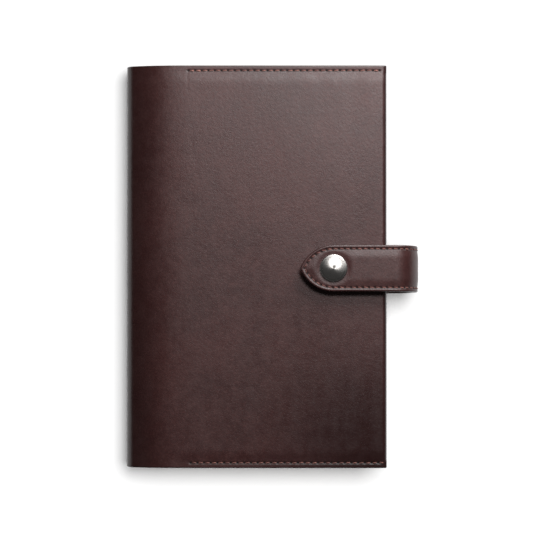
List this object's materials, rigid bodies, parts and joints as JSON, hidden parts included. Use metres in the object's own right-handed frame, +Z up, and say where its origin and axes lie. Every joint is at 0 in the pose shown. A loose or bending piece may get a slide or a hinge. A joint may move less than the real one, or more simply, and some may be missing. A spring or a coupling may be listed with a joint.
{
  "type": "leather notebook cover",
  "caption": "Brown leather notebook cover with folded-in sleeves round a hardcover notebook, closed by a strap that loops past the fore-edge to a snap.",
  "frame": {"origin": "middle of the bottom of the closed object's box, on the plane the back cover lies on", "axes": "+Z up, out of the front cover; +X from the spine to the fore-edge and the strap; +Y to the head of the book"},
  "size_m": [0.1588, 0.218, 0.0298],
  "materials": {
    "cover_leather": "dark brown smooth leather, matt to satin, fine grain with faint mottling",
    "strap_leather": "the same dark brown leather, with dark painted edges",
    "strap_lining": "dark brown lining leather, matt",
    "thread": "waxed reddish brown thread",
    "antique_nickel": "antique nickel, polished, darkened in the hollows",
    "spring_steel": "bright spring wire",
    "notebook_board": "board covered in black book cloth",
    "endpaper": "plain cream endpaper",
    "page_paper": "blank cream pages"
  },
  "bodies": {
    "back_cover": {"back_leather": "cover_leather", "back_head_stitches": "thread", "back_tail_stitches": "thread", "notebook_back_board": "notebook_board", "notebook_back_endpaper": "endpaper", "notebook_pages": "page_paper", "strap_base_leather": "strap_leather", "strap_base_lining": "strap_lining", "strap_anchor_stitches": "thread"},
    "spine": {"spine_leather": "cover_leather", "notebook_spine_board": "notebook_board"},
    "front_cover": {"front_leather": "cover_leather", "front_head_stitches": "thread", "front_tail_stitches": "thread", "notebook_front_board": "notebook_board", "notebook_front_endpaper": "endpaper", "snap_stud": "antique_nickel", "snap_post": "antique_nickel"},
    "strap_lower": {"strap_lower_leather": "strap_leather", "strap_lower_lining": "strap_lining", "strap_lower_stitches": "thread"},
    "strap_upper": {"strap_upper_leather": "strap_leather", "strap_upper_lining": "strap_lining", "strap_upper_stitches": "thread"},
    "strap_tab": {"strap_tab_leather": "strap_leather", "strap_tab_lining": "strap_lining", "strap_tab_stitches": "thread", "snap_cap": "antique_nickel", "snap_socket": "antique_nickel", "snap_spring": "spring_steel"}
  },
  "joints": [
    {"name": "back_fold", "type": "hinge", "parent": "back_cover", "child": "spine", "pos_m": [-0.0775, 0, 0.0062], "axis": [0, -1, 0], "range_deg": [0, 90]},
    {"name": "front_fold", "type": "hinge", "parent": "spine", "child": "front_cover", "pos_m": [-0.0775, 0, 0.0154], "axis": [0, -1, 0], "range_deg": [0, 90]},
    {"name": "strap_root_fold", "type": "hinge", "parent": "back_cover", "child": "strap_lower", "pos_m": [0.0632, -0.001, 0.0011], "axis": [0, 1, 0], "range_deg": [0, 15]},
    {"name": "strap_loop_fold", "type": "hinge", "parent": "strap_lower", "child": "strap_upper", "pos_m": [0.0791, -0.001, 0.01445], "axis": [0, 1, 0], "range_deg": [0, 105]},
    {"name": "strap_tab_fold", "type": "hinge", "parent": "strap_upper", "child": "strap_tab", "pos_m": [0.06575, -0.001, 0.0278], "axis": [0, 1, 0], "range_deg": [0, 50]}
  ],
  "couplings": [
    {"joint": "back_fold", "follows": "front_fold", "ratio": 1},
    {"joint": "strap_root_fold", "follows": "strap_loop_fold", "ratio": 0.14286},
    {"joint": "strap_tab_fold", "follows": "strap_loop_fold", "ratio": 0.47619}
  ]
}
